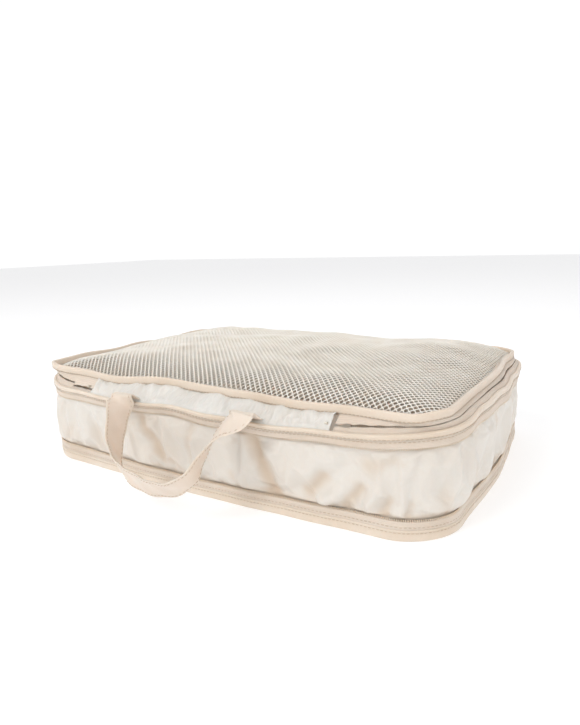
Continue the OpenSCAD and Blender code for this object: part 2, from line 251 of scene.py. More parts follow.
def loft(name, sections, material, wrap_m=True, wrap_k=True, caps=False):
    """A skin over sections, an array (m, k, 3). u runs along m and v round k, and caps close its two ends."""
    m, k = sections.shape[:2]
    faces, places = grid_faces(m, k, wrap_m, wrap_k)
    u = lengths(sections[:, 0], wrap_m)
    v = lengths(sections[m // 2], wrap_k)
    uv = np.stack([u[places[..., 0]], v[places[..., 1]]], -1)
    verts = sections.reshape(-1, 3)
    if not caps:
        return build(name, verts, faces, material, uv.reshape(-1, 2))
    j = np.arange(k)
    first = np.stack([j, (j + 1) % k, np.full(k, len(verts))], 1)
    last = np.stack([(m - 1) * k + (j + 1) % k, (m - 1) * k + j, np.full(k, len(verts) + 1)], 1)
    verts = np.vstack([verts, sections[0].mean(0), sections[-1].mean(0)])
    return build(name, verts, faces, material, uv.reshape(-1, 2), tris=np.vstack([first, last]))


def band(name, level_of, profile, material, wave_out=0.0, wave_up=0.0):
    """A closed band round the outline: profile is a list of (offset, height) in mm, and level_of(height) its level."""
    sections = np.zeros((N2, len(profile), 3))
    for j, (off, z) in enumerate(profile):
        sections[:, j] = waved(*ring(level_of(z), off, 0, 2), wave_out, wave_up)
    return loft(name, sections, material)


def rounded(o0, o1, z0, z1, r, steps=3, dents=()):
    """Profile of a rounded bar from offset o0 to o1 and height z0 to z1, anticlockwise from the lower outer corner.
    dents are (height, depth, half height) grooves in the outer face."""
    pts = []
    for cx, cz, a0 in ((o1 - r, z0 + r, -90), (o1 - r, z1 - r, 0), (o0 + r, z1 - r, 90), (o0 + r, z0 + r, 180)):
        for i in range(steps + 1):
            a = math.radians(a0 + 90 * i / steps)
            pts.append((cx + r * math.cos(a), cz + r * math.sin(a)))
        if a0 == -90:
            for z, depth, half in sorted(dents):
                pts += [(o1, z - half), (o1 - depth, z), (o1, z + half)]
    return pts


# A stitch or a tooth of a coil, one unit long: four rings of (place along it, radius).
CAPSULE = np.array([[(x, r * math.cos(a), r * math.sin(a)) for a in np.radians(np.arange(0, 360, 60))]
                    for x, r in ((-0.5, 0.35), (-0.32, 0.95), (0.32, 0.95), (0.5, 0.35))])
STITCH_BEND = 0.12


def capsules(name, centres, along, out, size, material, bend=0.0):
    """Many small stitches: centres, unit directions along and out of the cloth, and size (length, width, height).
    The ends of each go down by bend."""
    n = len(centres)
    m, k = CAPSULE.shape[:2]
    across = np.cross(out, along)
    body = CAPSULE.reshape(-1, 3)
    size = np.broadcast_to(np.asarray(size, float), (n, 3))
    lx = body[None, :, 0] * size[:, None, 0]
    ly = body[None, :, 1] * size[:, None, 1] / 2
    lz = body[None, :, 2] * size[:, None, 2] / 2 - bend * (body[None, :, 0] * 2) ** 2
    v = (centres[:, None] + along[:, None] * lx[..., None] + across[:, None] * ly[..., None]
         + out[:, None] * lz[..., None])
    quads, _ = grid_faces(m, k, False, True)
    start = np.array([[0, k - 1 - j, k - 2 - j] for j in range(k - 2)])
    end = np.array([[(m - 1) * k, (m - 1) * k + j + 1, (m - 1) * k + j + 2] for j in range(k - 2)])
    tris = np.vstack([quads[:, [0, 1, 2]], quads[:, [0, 2, 3]], start, end])
    faces = (tris[None] + (np.arange(n) * m * k)[:, None, None]).reshape(-1, 3)
    return build(name, v.reshape(-1, 3), faces, material, np.zeros((faces.size, 2)))


def along_line(want, s, line):
    """Points on a line at the lengths want, and the directions along it there."""
    c = at(want, s, line)
    return c, unit(at(want + 0.5, s, line) - c)


def along_ring(level, off, pitch, wave_out, wave_up):
    """Evenly spaced points on an outline: centres, directions along it and outward normals."""
    p, n = ring(level, off, 0, 2)
    p = waved(p, n, wave_out, wave_up)
    s = lengths(p)
    count = int(s[-1] / pitch)
    want = np.arange(count) / count * s[-1]
    c, d = along_line(want, s, np.vstack([p, p[:1]]))
    o = at(want, s, np.vstack([n, n[:1]]))
    o -= d * (o * d).sum(1)[:, None]
    return c, d, unit(o)


def stitches(name, level, off, pitch, wave_out=0.0, wave_up=0.0, seed=3):
    """A row of stitches round an outline, each a little out of line."""
    c, d, o = along_ring(level, off, pitch, wave_out, wave_up)
    r = np.random.default_rng(seed)
    up = np.cross(d, o)
    d = unit(d + up * r.normal(0, 0.05, len(c))[:, None])
    c = c + up * r.normal(0, 0.07, len(c))[:, None]
    size = np.array([2.1, 0.62, 0.6]) * r.uniform(0.88, 1.1, (len(c), 1))
    return capsules(name, c, d, o, size, thread_cloth, STITCH_BEND)


COIL_PITCH = 1.5


def coil(name, level, lean, wave_out, wave_up=0.0):
    """The teeth of a coil side by side: each is a short rounded bar across the zip, standing up from its tape."""
    c, d, o = along_ring(level, 0.0, COIL_PITCH, wave_out, wave_up)
    return capsules(name, c, unit(np.cross(d, o) + d * lean), o, (2.3, 0.95, 2.0), coil_plastic)


# ---------------------------------------------------------------- materials

class Look:
    """A material, with short ways to add nodes to it."""

    def __init__(self, name):
        self.mat = bpy.data.materials.new(name)
        self.mat.use_nodes = True
        self.nodes, self.links = self.mat.node_tree.nodes, self.mat.node_tree.links
        self.shader = self.nodes["Principled BSDF"]
        self.here = self.add("ShaderNodeTexCoord").outputs["Object"]

    def put(self, socket, value):
        """Links value to the socket if it is another node's output, and else sets it."""
        if isinstance(value, bpy.types.NodeSocket):
            self.links.new(value, socket)
        else:
            socket.default_value = value

    def add(self, kind, **inputs):
        node = self.nodes.new(kind)
        for key, value in inputs.items():
            self.put(node.inputs[key], value)
        return node

    def noise(self, vector=None, **inputs):
        return self.add("ShaderNodeTexNoise", Vector=vector or self.here, **inputs).outputs[0]

    def math(self, op, a, b=0):
        node = self.add("ShaderNodeMath")
        node.operation = op
        self.put(node.inputs[0], a)
        self.put(node.inputs[1], b)
        return node.outputs[0]

    def scaled(self, value, by, plus):
        return self.math("ADD", self.math("MULTIPLY", value, by), plus)

    def ramp(self, factor, low, high):
        """A ramp between two (position, colour)."""
        node = self.add("ShaderNodeValToRGB")
        for element, (position, colour) in zip(node.color_ramp.elements, (low, high)):
            element.position, element.color = position, (*colour, 1)
        self.put(node.inputs[0], factor)
        return node.outputs[0]

    def tinted(self, share, colour, tint):
        """The colour times the tint, as far as share says."""
        node = self.add("ShaderNodeMix")
        node.data_type, node.blend_type = "RGBA", "MULTIPLY"
        for i, value in ((0, share), (6, colour), (7, tint)):
            self.put(node.inputs[i], value)
        return node.outputs[2]

    def bump(self, height, strength=1.0, distance=1.0):
        node = self.add("ShaderNodeBump", Strength=strength, Distance=distance, Height=height)
        self.put(self.shader.inputs["Normal"], node.outputs[0])

    def set(self, **values):
        """Puts values on the shader's own sockets, with _ for each space in a name."""
        for key, value in values.items():
            self.put(self.shader.inputs[key.replace("_", " ")], value)


def cloth_material(name, light, dark, rough, crinkle, crinkle_size, patch_size, specular, sheen=0.2, weave=0.5,
                   weave_depth=0.0, ribs=None, rib_depth=0.0, painted_hollow_shade=False):
    """Woven cloth: two tones in soft patches, a plain weave of the given pitch in mm, ribs along v, and crinkles, with
    painted warm shade tinted into its hollows where asked.
    """
    look = Look(name)
    patch = look.noise(Scale=1 / (patch_size * MM), Detail=3.0, Roughness=0.55)
    fine = look.noise(Scale=1 / (1.3 * MM), Detail=2.0)
    speckle = look.math("MULTIPLY", look.math("SUBTRACT", fine, 0.5), 0.35)
    blend = look.math("ADD", look.scaled(patch, 1.5, -0.25), speckle)
    colour = look.ramp(blend, (0.15, dark), (0.8, light))

    # Weave: two crossed sets of threads, over and under.
    uv = look.add("ShaderNodeUVMap")
    uv.uv_map = "weave"
    split = look.add("ShaderNodeSeparateXYZ", Vector=uv.outputs[0])
    over, under = [look.math("SINE", look.math("MULTIPLY", split.outputs[i], 2 * math.pi / (weave * MM)))
                   for i in (0, 1)]
    height = look.math("MULTIPLY", look.math("MULTIPLY", over, under), weave_depth * MM)
    if ribs:
        rib = look.math("SINE", look.math("MULTIPLY", split.outputs[1], 2 * math.pi / (ribs * MM)))
        height = look.math("ADD", height, look.math("MULTIPLY", rib, rib_depth * MM))
        shade = look.scaled(rib, 0.05, 0.95)
        colour = look.tinted(1.0, colour, look.add("ShaderNodeCombineXYZ", X=shade, Y=shade, Z=shade).outputs[0])
    crinkles = look.noise(Scale=1 / (crinkle_size * MM), Detail=4.0, Roughness=0.6, Distortion=0.6)
    look.bump(look.math("ADD", height, look.math("MULTIPLY", crinkles, crinkle * MM)))
    if painted_hollow_shade:
        # Painted shade: the colour is tinted warm tan in the hollows, as far as the mesh's hollow share says, standing
        # in for the warm shade of light bounced between folds of cloth.
        hollow_shade_node = look.add("ShaderNodeAttribute")
        hollow_shade_node.attribute_name = "hollow_shade"
        colour = look.tinted(hollow_shade_node.outputs["Fac"], colour, (0.88, 0.77, 0.66, 1))
    look.set(Base_Color=colour, Roughness=look.scaled(patch, 0.16, rough - 0.08),
             Sheen_Weight=sheen, Sheen_Roughness=0.45, Specular_IOR_Level=specular, Subsurface_Weight=0.25,
             Subsurface_Radius=(1.0, 0.55, 0.35), Subsurface_Scale=0.004)
    look.shader.subsurface_method = "BURLEY"
    return look.mat


def metal_material():
    """Satin nickel, brushed along x."""
    look = Look("satin_nickel")
    stretch = look.add("ShaderNodeMapping", Vector=look.here, Scale=(1, 14, 14))
    brush = look.noise(stretch.outputs[0], Scale=900.0, Detail=3.0)
    look.set(Base_Color=look.ramp(brush, (0.0, (0.50, 0.45, 0.38)), (1.0, (0.72, 0.67, 0.58))),
             Roughness=look.scaled(brush, 0.2, 0.22), Metallic=1.0)
    look.bump(brush, 0.15, 0.00005)
    return look.mat


# Name, light and dark tone, roughness, depth and size of the crinkles, size of the patches, and specular level.
satin = cloth_material("satin_nylon", (0.70, 0.665, 0.615), (0.66, 0.60, 0.53), 0.38, 0.22, 7.0, 90, 0.5,
                       sheen=0.15, weave=0.4, weave_depth=0.012, painted_hollow_shade=True)
hinge_cloth = cloth_material("hinge_nylon", (0.70, 0.68, 0.64), (0.66, 0.625, 0.575), 0.46, 0.3, 5.0, 50, 0.45,
                             sheen=0.15, weave=0.4, weave_depth=0.012)
binding_cloth = cloth_material("binding_satin", (0.74, 0.645, 0.545), (0.66, 0.545, 0.43), 0.45, 0.12, 4.0, 45, 0.4,
                               weave_depth=0.02)
tape_cloth = cloth_material("zip_tape", (0.745, 0.645, 0.55), (0.67, 0.555, 0.45), 0.62, 0.15, 3.5, 40, 0.3,
                            sheen=0.25, weave=0.55, weave_depth=0.02, ribs=1.15, rib_depth=0.07)
strap_cloth = cloth_material("strap_satin", (0.725, 0.645, 0.56), (0.66, 0.565, 0.465), 0.44, 0.14, 5.0, 40, 0.4,
                             weave_depth=0.02)
# The thread is cream like the binding; its darker tone here is painted shade for the shadow round each stitch.
thread_cloth = cloth_material("sewing_thread", (0.62, 0.49, 0.37), (0.50, 0.38, 0.28), 0.6, 0.02, 0.4, 9, 0.3)
coil_plastic = cloth_material("coil_nylon", (0.70, 0.60, 0.49), (0.60, 0.49, 0.38), 0.35, 0.02, 0.6, 12, 0.5, sheen=0.0)
net_yarn = cloth_material("net_yarn", (0.84, 0.80, 0.74), (0.76, 0.70, 0.62), 0.6, 0.04, 0.5, 25, 0.3)
metal = metal_material()


# ---------------------------------------------------------------- base

# How far each rim wanders out and up.
base_out = 0.35 * ripple(6, 26, 11)
rim_out = 0.45 * ripple(5, 30, 12)
rim_up = 0.5 * ripple(4, 22, 13)
top_out = 0.5 * ripple(4, 24, 14)
top_up = 0.55 * ripple(3, 18, 15)
# The back stays straight and level, because the sliders run along it.
s2 = np.arange(N2) / N2
back_from, back_to = STARTS["back"] / N, STARTS["bl"] / N
calm = np.clip(np.minimum(np.abs(s2 - back_from), np.abs(s2 - back_to)) / 0.04, 0, 1)
calm = np.where((s2 > back_from) & (s2 < back_to), 0.12, 0.12 + 0.88 * calm)
for wave in (base_out, rim_out, rim_up, top_out, top_up):
    wave *= calm
roll_out, tape_out = base_out * 0.6, base_out * 0.8

place(band("bottom_binding_roll", body_level, rounded(-1.4, 1.6, 0.05, 8.5, 1.1, dents=[(6.4, 0.28, 0.8)]),
           binding_cloth, roll_out), "base", "bottom_binding", "binding")
place(stitches("bottom_binding_stitch_row", body_level(6.4), 1.62, 3.0, roll_out),
      "base", "bottom_binding_stitching", "thread")
place(band("bottom_seam_cover", body_level, rounded(-3.1, -1.45, 1.3, 8.4, 0.5), tape_cloth, roll_out),
      "base", "bottom_inner_seam_tape", "tape")
place(band("compression_tape_lower", body_level, rounded(-0.6, 0.9, 8.2, 14.6, 0.45, dents=[(9.6, 0.2, 0.7)]),
           tape_cloth, tape_out), "base", "compression_lower_tape", "tape")
place(stitches("compression_tape_lower_stitch_row", body_level(10.4), 0.95, 3.1, tape_out, seed=4),
      "base", "compression_lower_tape_stitching", "thread")
place(coil("compression_coil_lower", body_level(15.1), 0.12, tape_out), "base", "compression_lower_coil", "coil")


def panel(name, level, z, off, thick, material, lumps, seed):
    """A flat sheet over an outline at height z, with lumps in it, as rings of points round its middle."""
    edge, _ = ring(level, off)
    middle = np.array([0, 0, z])
    shares = np.linspace(0, 1, 26)[1:]
    pts = np.concatenate([[middle]] + [edge * np.array([s, s, 0]) + middle for s in shares])
    lift = lumpy(pts[:, 0] * 0.014, pts[:, 1] * 0.014, seed)
    rim_fade = np.clip((1 - np.concatenate([[0], np.repeat(shares, N)])) * 8, 0, 1)
    pts[:, 2] += np.maximum(0, lumps * (lift + 0.35)) * rim_fade
    j = np.arange(N)
    after = (j + 1) % N
    faces = [np.stack([np.zeros(N, int), 1 + j, 1 + after], 1)]
    for k in range(len(shares) - 1):
        a, b = 1 + k * N, 1 + (k + 1) * N
        faces += [np.stack([a + j, b + j, b + after], 1), np.stack([a + j, b + after, a + after], 1)]
    top_faces = np.vstack(faces)
    low = pts - np.array([0, 0, thick])
    low[:, 2] = np.maximum(low[:, 2], 0.1)
    under = top_faces[:, [0, 2, 1]] + len(pts)
    a = 1 + (len(shares) - 1) * N
    side1 = np.stack([a + j, a + j + len(pts), a + after + len(pts)], 1)
    side2 = np.stack([a + j, a + after + len(pts), a + after], 1)
    verts = np.vstack([pts, low])
    faces = np.vstack([top_faces, under, side1, side2])
    return build(name, verts, faces, material, verts[faces][:, :, :2].reshape(-1, 2))


floor_cloth = panel("bottom_panel_cloth", body_level(1.2), 0.8, -1.5, 0.6, satin, 1.6, 4.0)
place(floor_cloth, "base", "bottom_panel", "shell_fabric")


# ---------------------------------------------------------------- gusset

CLOTH_FRAMES = 26


def points_of(mesh):
    co = np.zeros(len(mesh.vertices) * 3, np.float32)
    mesh.vertices.foreach_get("co", co)
    return co.reshape(-1, 3).astype(float)


def set_points(mesh, points):
    mesh.vertices.foreach_set("co", points.astype(np.float32).ravel())
    mesh.update()


def settle(obj, along, push, reach, pinned, grow, pressure, stiff, bend_stiff, cap):
    """Runs Cloth on obj with the pinned points held and every edge grown by grow, from its points in mm pushed
    by reach times push, and caps how far a point moves."""
    mesh = obj.data
    rest = points_of(mesh)
    set_points(mesh, rest + along * (push * reach)[:, None] * MM)
    group = obj.vertex_groups.new(name="pins")
    group.add([int(i) for i in np.flatnonzero(pinned)], 1.0, "REPLACE")
    cloth = obj.modifiers.new("Cloth", "CLOTH")
    for key, value in dict(quality=6, mass=0.05, tension_stiffness=stiff, compression_stiffness=stiff,
                           shear_stiffness=stiff * 0.4, bending_stiffness=bend_stiff, air_damping=2.0,
                           vertex_group_mass="pins", shrink_min=-grow, use_pressure=True,
                           uniform_pressure_force=pressure).items():
        setattr(cloth.settings, key, value)
    cloth.settings.effector_weights.gravity = 0
    cloth.collision_settings.use_collision = False
    cloth.collision_settings.use_self_collision = False
    cloth.point_cache.frame_end = CLOTH_FRAMES
    scene = bpy.context.scene
    for f in range(1, CLOTH_FRAMES + 1):
        scene.frame_set(f)
    move = points_of(obj.evaluated_get(bpy.context.evaluated_depsgraph_get()).data) - rest
    obj.modifiers.remove(cloth)
    obj.vertex_groups.clear()
    scene.frame_set(1)
    size = np.linalg.norm(move, axis=1)
    keep = np.where(size > 1e-9, cap * np.tanh(size / cap) / np.maximum(size, 1e-9), 1)
    set_points(mesh, rest + move * keep[:, None])


def smooth_copy(obj):
    """Adds a subdivision to obj and keeps the result as its mesh."""
    sub = obj.modifiers.new("Subdivision", "SUBSURF")
    sub.levels = sub.render_levels = 1
    sub.boundary_smooth = "PRESERVE_CORNERS"
    made = bpy.data.meshes.new_from_object(obj.evaluated_get(bpy.context.evaluated_depsgraph_get()))
    obj.modifiers.remove(sub)
    made.name = obj.name
    obj.data = made
    made.polygons.foreach_set("use_smooth", np.full(len(made.polygons), True))


# Rows of the gusset, which is seen between the heights 16 and 67 and goes on behind both tapes.
GUSSET_Z = np.concatenate([[10.0, 13.5], np.linspace(16.5, 66.5, 25), [69.5, 71.5]])
GUSSET_IN = -1.9

gusset_points = np.zeros((N, len(GUSSET_Z), 3))
for j, z in enumerate(GUSSET_Z):
    fullness = 4.6 * np.sin(np.pi * np.clip((z - 16.0) / 51.0, 0, 1)) ** 0.75
    wave = base_out[::2] * (1 - (z - 16) / 51) + rim_out[::2] * (z - 16) / 51
    p, n = ring(body_level(z), GUSSET_IN + fullness)
    gusset_points[:, j] = p + n * wave[:, None]
gusset = loft("expansion_gusset_cloth", gusset_points, satin, wrap_k=False)
flat_points = gusset_points.reshape(-1, 3)
normals = np.repeat(ring(body_level(40))[1][:, None], len(GUSSET_Z), 1).reshape(-1, 3)
z_of = np.tile(GUSSET_Z, N)
inside = np.clip(np.minimum(z_of - 16.5, 66.5 - z_of) / 12, 0, 1)
x, y, z = flat_points.T
push = lumpy(x * 0.03, y * 0.03, z * 0.022) + 0.5 * lumpy(x * 0.08, y * 0.08, z * 0.05 + 9)
settle(gusset, normals, push * inside, reach=1.6, pinned=(z_of < 17.5) | (z_of > 65.5),
       grow=0.05, pressure=1.2, stiff=12, bend_stiff=0.6, cap=7 * MM)

# Drawn folds, listed one by one: way round and height of both ends, half width and height in mm.
FOLDS = [
    (108, 21, 126, 36, 4.5, 2.4), (141, 24, 151, 34, 4.0, 2.3), (159, 22, 166, 31, 3.5, 1.8),
    (98, 26, 114, 41, 5.0, -2.4), (124, 21, 138, 36, 4.0, -2.4), (150, 20, 157, 29, 3.5, -2.0),
    (168, 20, 172, 27, 3.0, -1.3), (78, 30, 97, 45, 6.0, 1.3), (150, 53, 174, 58, 7.0, -1.8),
    (165, 50, 190, 43, 8.0, 1.7), (172, 62, 184, 49, 4.5, 1.6), (-54, 64, -34, 27, 5.5, -2.6),
    (61, 68, 69, 18, 6.5, -3.0), (80, 60, 86, 26, 6.0, 1.1), (48, 60, 53, 24, 5.5, 1.1), (5, 62, -3, 28, 2.6, -1.1),
    (-24, 27, -12, 22, 3.2, -1.4), (-11, 25, 3, 21, 3.0, 1.1), (-40, 24, -28, 20, 3.0, 0.9),
    (-116, 40, -106, 22, 6.0, -0.9), (-138, 60, -130, 38, 7.0, 1.0), (-150, 34, -158, 20, 5.0, -1.0),
    (212, 66, 218, 24, 8.0, 1.8), (194, 40, 200, 20, 5.5, -1.1), (20, 24, 34, 20, 3.5, 0.9),
    (36, 30, 40, 19, 3.0, -0.9), (232, 60, 238, 30, 6.0, -1.2), (262, 66, 268, 26, 7.0, 1.2),
    (292, 60, 300, 20, 8.0, -1.3), (330, 66, 336, 30, 8.0, 1.4), (362, 56, 368, 20, 7.0, -1.2),
    (-222, 66, -216, 24, 8.0, 1.4), (-300, 60, -292, 22, 8.0, -1.3), (-350, 66, -344, 26, 8.0, 1.3),
    (-430, 60, -420, 24, 7.0, 1.2), (-500, 60, -492, 24, 9.0, -1.4), (-570, 56, -562, 22, 8.0, 1.3),
    (470, 60, 476, 24, 8.0, -1.3), (540, 60, 548, 22, 9.0, 1.3), (610, 58, 602, 24, 8.0, -1.2),
]
way = (np.repeat(np.arange(N), len(GUSSET_Z)) - STARTS["fr"] / 2) * ROUND_MM
way = np.where(way > N * ROUND_MM / 2, way - N * ROUND_MM, way)
fold = np.zeros(len(way))
for q0, z0, q1, z1, half, tall in FOLDS:
    dq, dz = q1 - q0, z1 - z0
    along = np.clip(((way - q0) * dq + (z_of - z0) * dz) / (dq * dq + dz * dz), 0, 1)
    fold += tall * np.exp(-((way - q0 - along * dq) ** 2 + (z_of - z0 - along * dz) ** 2) / half ** 2)
# Pleats hang from the upper tape and small puckers stand on the lower one.
pleat = lumpy(way * 0.085, z_of * 0.006, 4.2)
pucker = lumpy(way * 0.16, z_of * 0.02, 6.2)
pleated = np.clip((np.abs(way) - 150) / 60, 0.12, 1)
puckered = np.clip(0.25 + np.exp(-((way - 130) / 60) ** 2), 0, 1)
# Painted shade: its share is deepest in the drawn folds and along both tapes, where shade falls, and is kept on the
# mesh for the cloth's colour.
hollow_shade = np.clip(-fold / 3, 0, 1) + 0.6 * np.exp(-((z_of - 17.5) / 2.2) ** 2) + 0.35 * np.exp(-((z_of - 67) / 2.5) ** 2)
hollow_shade_data = gusset.data.attributes.new("hollow_shade", "FLOAT", "POINT").data
hollow_shade_data.foreach_set("value", np.clip(hollow_shade, 0, 1).astype(np.float32))
fold += 3.4 * pleat * np.clip((z_of - 30) / 34, 0, 1) * pleated
fold += 2.6 * pucker * np.exp(-((z_of - 22) / 7) ** 2) * puckered
fold *= 1.1
held = np.clip(np.minimum(z_of - 15.5, 67.5 - z_of) / 5, 0, 1)
set_points(gusset.data, points_of(gusset.data) + normals * (fold * held * MM)[:, None])
smooth_copy(gusset)
place(gusset, "base", "expansion_gusset", "shell_fabric")
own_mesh(gusset)


# ---------------------------------------------------------------- upper frame

place(coil("compression_coil_upper", body_level(67.8), -0.12, rim_out, rim_up),
      "upper_frame", "compression_upper_coil", "coil")
place(band("compression_tape_upper", body_level, rounded(-0.6, 0.9, 68.0, 74.8, 0.45, dents=[(73.0, 0.15, 0.6)]),
           tape_cloth, rim_out, rim_up), "upper_frame", "compression_upper_tape", "tape")
place(stitches("compression_tape_upper_stitch_row", body_level(73.1), 0.95, 3.1, rim_out, rim_up, seed=5),
      "upper_frame", "compression_upper_tape_stitching", "thread")
place(band("mid_binding_roll", body_level, rounded(-1.4, 1.9, 74.1, 79.8, 1.3, dents=[(75.6, 0.25, 0.6)]),
           binding_cloth, rim_out, rim_up), "upper_frame", "mid_binding", "binding")
place(stitches("mid_binding_stitch_row", body_level(75.6), 1.98, 3.0, rim_out, rim_up, seed=6),
      "upper_frame", "mid_binding_stitching", "thread")
place(band("mid_seam_cover", body_level, rounded(-3.1, -1.45, 72.3, 76.2, 0.5), tape_cloth, rim_out, rim_up),
      "upper_frame", "mid_inner_seam_tape", "tape")


def line_up(low, high):
    """Slides the points of high along it so that they stand behind those of low on the handle side."""
    middle, turned = STARTS["fr"], N
    low, high = np.roll(low, turned - middle, 0), np.roll(high, turned - middle, 0)
    s_low, s_high = lengths(low[:, :2], False), lengths(high[:, :2], False)
    s_low, s_high = s_low - s_low[turned], s_high - s_high[turned]
    a, b = turned - middle - 68, turned + middle + 68
    want = s_high.copy()
    want[a:b + 1] = np.interp(s_low[a:b + 1], [s_low[a], -126, 126, s_low[b]], [s_high[a], -126, 126, s_high[b]])
    return np.roll(at(want, s_high, high), middle - turned, 0)


# The shoulder is the slope between the middle rim and the lid's rim.
low_edge = waved(*ring(MID_RIM, -1.2, -0.5, 2), rim_out, rim_up)
high_edge = line_up(low_edge, waved(*ring(TOP_SEAM, 0.4, 0.4, 2), top_out, top_up))


def shoulder(w, puff=0.0):
    """A row of the shoulder, w from 0 at the middle rim to 1 at the lid's rim, puff above it."""
    w = np.broadcast_to(w, (N2,))[:, None]
    p = low_edge * (1 - w) + high_edge * w
    slope = high_edge - low_edge
    across = unit(np.cross(slope, np.roll(low_edge, -1, 0) - np.roll(low_edge, 1, 0)))
    across *= np.where(across[:, 2:] < 0, -1, 1)
    return p + across * np.broadcast_to(puff, (N2,))[:, None]


HINGE_LEFT, HINGE_RIGHT = -113.0, 122.5
TAPE_T = 0.9
front_x = low_edge[:, 0]
is_front = low_edge[:, 1] < -100
sample = np.arange(N2)
# The main zip's line: half way up the shoulder, but close above the middle rim on the handle side.
corner_in = np.clip((STARTS["fr"] * 2 + 34 - sample) / 90.0, 0, 1)
left_in = np.clip((sample - (STARTS["fl"] * 2 + 34)) / 90.0, 0, 1)
on_front = np.maximum(np.where(sample < N, corner_in, 0), np.where(sample > N, left_in, 0))
on_front = on_front * on_front * (3 - 2 * on_front)
zip_w = 0.5 - 0.30 * on_front
# Its slit is uneven, and gapes beside the hinge strip's right end.
slit_wave = np.abs(ripple(20, 60, 21))
slit_half = 0.55 + 0.35 * slit_wave * (1 - 0.5 * (calm < 0.5))
gape = 0.15 * np.exp(-((front_x - 140) / 14) ** 2) * is_front
slit_half = slit_half + gape * np.clip(0.4 + 1.4 * ripple(60, 110, 27), 0, 1.6)
span = np.linalg.norm(high_edge - low_edge, axis=1)

# Samples from the right end of the hinge strip round the back to its left end, and those under the strip.
right_from = int(np.flatnonzero((front_x > HINGE_RIGHT + 1.5) & is_front & (sample < N))[0])
left_to = int(np.flatnonzero((front_x < HINGE_LEFT) & is_front & (sample < N))[-1])
zip_run = np.r_[right_from:N2, 0:left_to + 1]
hinge_run = np.arange(left_to - 2, right_from - 1)


def zip_tape(name, w0, w1, puff):
    """A tape of the main zip on the shoulder, from w0 to w1, lifted by puff(share of its width)."""
    top, low = [], []
    for k in np.linspace(0, 1, 9):
        w = w0 + (w1 - w0) * k
        top.append(shoulder(w, puff(k) + TAPE_T / 2)[zip_run])
        low.append(shoulder(w, puff(k) - TAPE_T / 2)[zip_run])
    section = [shoulder(w0, puff(0.0))[zip_run]] + top + [shoulder(w1, puff(1.0))[zip_run]] + low[::-1]
    return loft(name, np.stack(section, 1), tape_cloth, wrap_m=False, caps=True)


place(zip_tape("main_tape_lower", 0.0, zip_w - slit_half / span, lambda k: 0.35 * np.sin(np.pi * k)),
      "upper_frame", "main_lower_tape", "tape")
place(zip_tape("main_tape_upper", zip_w + slit_half / span, 1.0,
               lambda k: 0.9 * (1 - k) * on_front + 0.4 * np.sin(np.pi * k) + 0.15 * slit_wave * (1 - k)),
      "lid", "main_upper_tape", "tape")


def zip_teeth(name, side):
    """The coil under one tape of the main zip: side is -1 for the lower one and 1 for the upper."""
    line = shoulder(zip_w + side * 1.9 / span, -2.1)[zip_run][10:-10]
    s = lengths(line, False)
    c, d = along_line(np.arange(2, s[-1] - 2, COIL_PITCH), s, line)
    across = unit(np.cross(np.tile(UP, (len(c), 1)), d))
    return capsules(name, c, across, np.cross(d, across), (2.6, 0.95, 1.9), coil_plastic)


place(zip_teeth("main_coil_lower", -1), "upper_frame", "main_lower_coil", "coil")
place(zip_teeth("main_coil_upper", 1), "lid", "main_upper_coil", "coil")

# The hinge strip is cloth gathered between the two rims.
hinge_ws = np.linspace(-0.02, 1.02, 15)
hinge_sections = np.stack([shoulder(w, 0.6 + 1.2 * math.sin(math.pi * max(0, min(1, w))))[hinge_run]
                           for w in hinge_ws], 1)
hinge = loft("hinge_strip_cloth", hinge_sections, hinge_cloth, wrap_m=False, wrap_k=False)
hinge_flat = hinge_sections.reshape(-1, 3)
hinge_x = hinge_flat[:, 0]
hw = np.tile(hinge_ws, len(hinge_run))
hinge_mid = np.sin(np.pi * np.clip(hw, 0, 1))
hinge_out = np.array([0, -0.35, 0.94])
gather = lumpy(hinge_x * 0.075, hw * 0.8, 3.0) + 0.6 * lumpy(hinge_x * 0.19, hw * 1.2, 7.0)
settle(hinge, hinge_out, gather * hinge_mid, reach=1.3, pinned=(hw < 0.05) | (hw > 0.95),
       grow=0.06, pressure=0.6, stiff=10, bend_stiff=0.25, cap=4.5 * MM)
tucks = abs(lumpy(hinge_x * 0.14 + 0.05 * hw, hw * 0.7, 13.0)) - 0.5 * abs(lumpy(hinge_x * 0.33, hw * 1.5, 17.0))
# It bunches up at both ends, and its right end is a little jagged.
lump = 2.0 * np.exp(-((hinge_x - HINGE_LEFT - 4) / 3.5) ** 2) + 2.2 * np.exp(-((hinge_x - 119) / 4.5) ** 2)
lift = (4.2 * tucks * hinge_mid * (0.5 + 0.7 * hw) + lump * hinge_mid) * MM
hinge_now = points_of(hinge.data) + hinge_out * lift[:, None]
hinge_now[:, 0] += np.where(hinge_x > HINGE_RIGHT - 2, lumpy(hw * 5.3, 1.0, 2.0) * MM, 0)
set_points(hinge.data, hinge_now)
smooth_copy(hinge)
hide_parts("hinge_strip")
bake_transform(hinge)


# ---------------------------------------------------------------- lid

place(band("top_binding_roll", top_level, rounded(-1.4, 1.7, 81.4, 88.9, 1.25, dents=[(83.2, 0.25, 0.6)]),
           binding_cloth, top_out, top_up), "lid", "top_binding", "binding")
place(stitches("top_binding_stitch_row", top_level(83.2), 1.78, 3.0, top_out, top_up, seed=8),
      "lid", "top_binding_stitching", "thread")
place(band("mesh_edge_cover", top_level,
           [(-1.3, 82.7), (-1.3, 83.7), (-3.2, 84.3), (-5.2, 84.9), (-5.3, 84.3), (-3.2, 83.6)],
           tape_cloth, top_out, top_up), "lid", "mesh_edge_tape", "tape")

